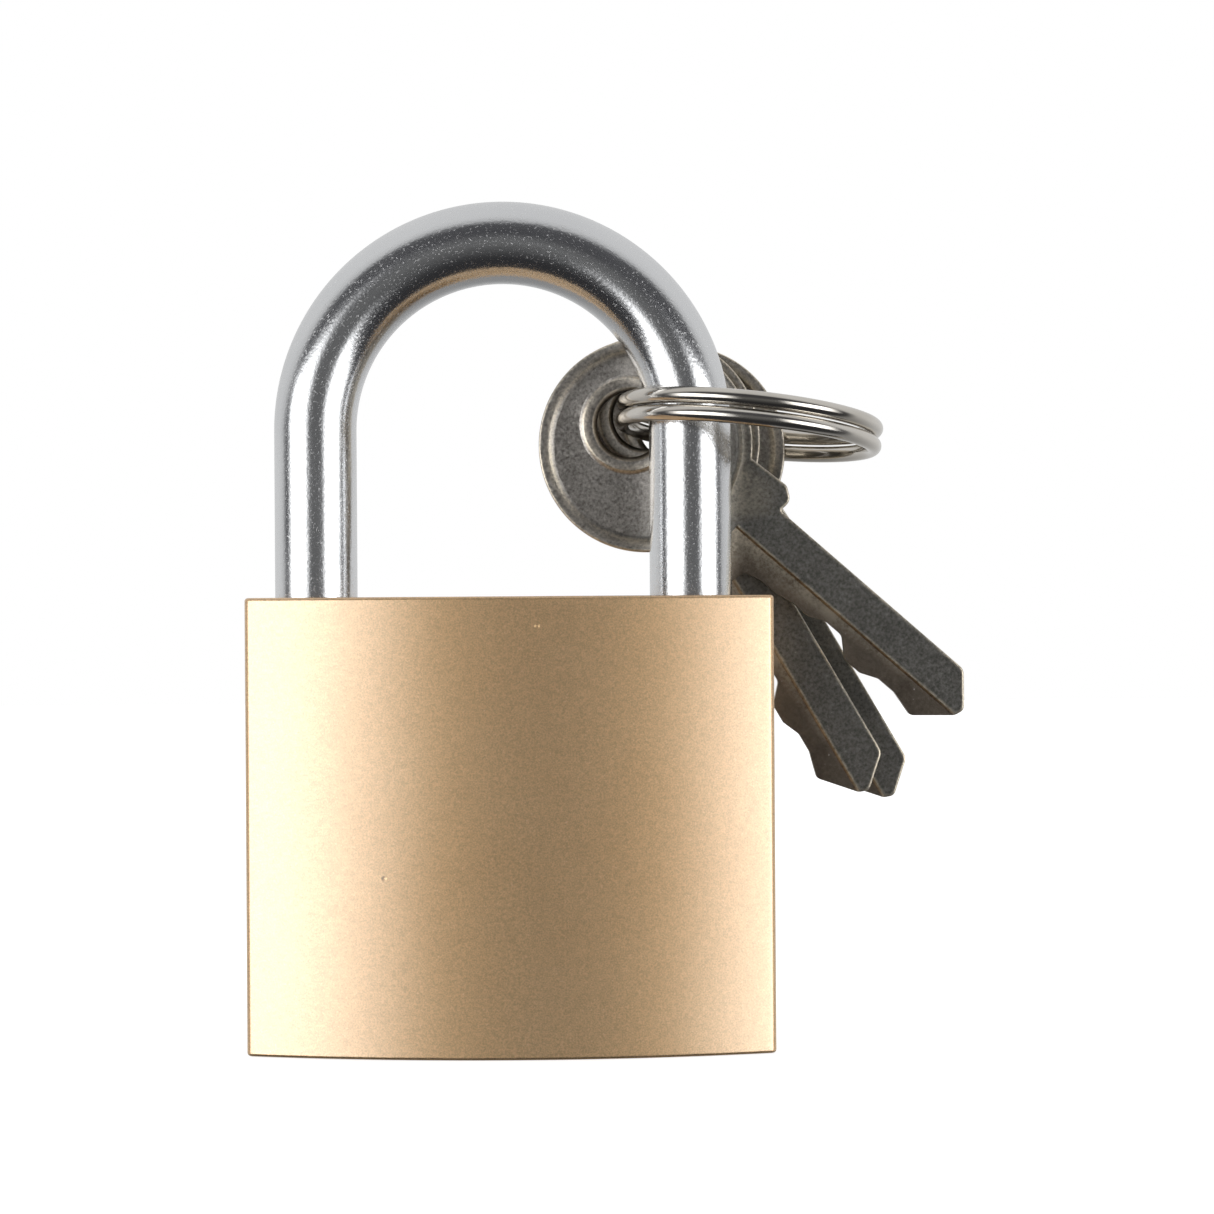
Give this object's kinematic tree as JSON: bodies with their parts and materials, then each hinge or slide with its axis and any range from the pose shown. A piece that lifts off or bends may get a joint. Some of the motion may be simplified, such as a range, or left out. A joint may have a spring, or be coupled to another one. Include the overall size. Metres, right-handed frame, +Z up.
{
  "type": "padlock",
  "caption": "Solid brass padlock with a round plated shackle, a pin tumbler cylinder and keys hanging on a split ring.",
  "frame": {"origin": "middle of the case's bottom face, on the axis of the cylinder plug, where the keyway opens", "axes": "+Z up along the shackle's legs, +X across the case towards the toe leg, +Y from the front crown to the back crown"},
  "size_m": [0.0552, 0.0207, 0.0649],
  "materials": {
    "case_brass": "satin, brushed across the width",
    "shackle_chrome": "polished plating with fine drawn marks",
    "ring_nickel": "bright nickel plating",
    "key_nickel": "dull nickel plating, brassy at the worn edges",
    "plug_brass": "turned",
    "cap_brass": "pressed in and ground flush",
    "pin_brass": "turned",
    "pin_steel": "turned and hardened",
    "latch_steel": "turned and hardened",
    "spring_steel": "drawn wire"
  },
  "bodies": {
    "case": {"lock_body": "case_brass", "plug_retaining_pin": "cap_brass", "heel_retaining_pin": "cap_brass", "latch_hole_cap": "cap_brass", "shackle_spring": "spring_steel", "latch_spring": "spring_steel", "pin_spring_1": "spring_steel", "pin_spring_2": "spring_steel", "pin_spring_3": "spring_steel", "pin_spring_4": "spring_steel", "pin_spring_5": "spring_steel", "chamber_cap_1": "cap_brass", "chamber_cap_2": "cap_brass", "chamber_cap_3": "cap_brass", "chamber_cap_4": "cap_brass", "chamber_cap_5": "cap_brass"},
    "shackle_bar": {"shackle": "shackle_chrome"},
    "plug": {"cylinder_plug": "plug_brass"},
    "latch": {"latch_bolt": "latch_steel"},
    "key_pin_body_1": {"key_pin_1": "pin_brass"},
    "key_pin_body_2": {"key_pin_2": "pin_brass"},
    "key_pin_body_3": {"key_pin_3": "pin_brass"},
    "key_pin_body_4": {"key_pin_4": "pin_brass"},
    "key_pin_body_5": {"key_pin_5": "pin_brass"},
    "driver_body_1": {"driver_pin_1": "pin_steel"},
    "driver_body_2": {"driver_pin_2": "pin_steel"},
    "driver_body_3": {"driver_pin_3": "pin_steel"},
    "driver_body_4": {"driver_pin_4": "pin_steel"},
    "driver_body_5": {"driver_pin_5": "pin_steel"},
    "ring": {"split_ring": "ring_nickel"},
    "key_front_body": {"key_front": "key_nickel"},
    "key_middle_body": {"key_middle": "key_nickel"},
    "key_back_body": {"key_back": "key_nickel"}
  },
  "joints": [
    {"name": "shackle_lift", "type": "slide", "parent": "case", "child": "shackle_bar", "axis": [0, 0, 1], "range_m": [0, 0.0108], "deforming": ["shackle_spring"]},
    {"name": "plug_turn", "type": "hinge", "parent": "case", "child": "plug", "pos_m": [0, 0, 0], "axis": [0, 0, 1], "range_deg": [0, 90]},
    {"name": "latch_throw", "type": "slide", "parent": "case", "child": "latch", "axis": [1, 0, 0], "range_m": [0, 0.00206], "deforming": ["latch_spring"]},
    {"name": "key_pin_1_slide", "type": "slide", "parent": "plug", "child": "key_pin_body_1", "axis": [0, 1, 0], "range_m": [0, 0.00175]},
    {"name": "key_pin_2_slide", "type": "slide", "parent": "plug", "child": "key_pin_body_2", "axis": [0, 1, 0], "range_m": [0, 0.00145]},
    {"name": "key_pin_3_slide", "type": "slide", "parent": "plug", "child": "key_pin_body_3", "axis": [0, 1, 0], "range_m": [0, 0.00085]},
    {"name": "key_pin_4_slide", "type": "slide", "parent": "plug", "child": "key_pin_body_4", "axis": [0, 1, 0], "range_m": [0, 0.00215]},
    {"name": "key_pin_5_slide", "type": "slide", "parent": "plug", "child": "key_pin_body_5", "axis": [0, 1, 0], "range_m": [0, 0.00155]},
    {"name": "driver_pin_1_slide", "type": "slide", "parent": "case", "child": "driver_body_1", "axis": [1, 0, 0], "range_m": [0, 0.002], "stiffness_N_per_m": 60, "springref_m": -0.002, "deforming": ["pin_spring_1"]},
    {"name": "driver_pin_2_slide", "type": "slide", "parent": "case", "child": "driver_body_2", "axis": [1, 0, 0], "range_m": [0, 0.002], "stiffness_N_per_m": 60, "springref_m": -0.002, "deforming": ["pin_spring_2"]},
    {"name": "driver_pin_3_slide", "type": "slide", "parent": "case", "child": "driver_body_3", "axis": [1, 0, 0], "range_m": [0, 0.002], "stiffness_N_per_m": 60, "springref_m": -0.002, "deforming": ["pin_spring_3"]},
    {"name": "driver_pin_4_slide", "type": "slide", "parent": "case", "child": "driver_body_4", "axis": [1, 0, 0], "range_m": [0, 0.002], "stiffness_N_per_m": 60, "springref_m": -0.002, "deforming": ["pin_spring_4"]},
    {"name": "driver_pin_5_slide", "type": "slide", "parent": "case", "child": "driver_body_5", "axis": [1, 0, 0], "range_m": [0, 0.002], "stiffness_N_per_m": 60, "springref_m": -0.002, "deforming": ["pin_spring_5"]},
    {"name": "ring_swing", "type": "hinge", "parent": "shackle_bar", "child": "ring", "pos_m": [0.01385, 0, 0.04775], "axis": [0, 0, 1], "range_deg": [-16, 10]},
    {"name": "key_front_swing", "type": "hinge", "parent": "ring", "child": "key_front_body", "pos_m": [0.00926, 0.0046, 0.04798], "axis": [0, -1, 0], "range_deg": [-2, 18]},
    {"name": "key_middle_swing", "type": "hinge", "parent": "ring", "child": "key_middle_body", "pos_m": [0.01052, 0.007, 0.04874], "axis": [0, -1, 0], "range_deg": [-6, 32]},
    {"name": "key_back_swing", "type": "hinge", "parent": "ring", "child": "key_back_body", "pos_m": [0.01261, 0.0096, 0.04809], "axis": [0, -1, 0], "range_deg": [-30, 16]}
  ],
  "couplings": [
    {"joint": "latch_throw", "follows": "plug_turn", "m_per_rad": 0.0013055}
  ]
}
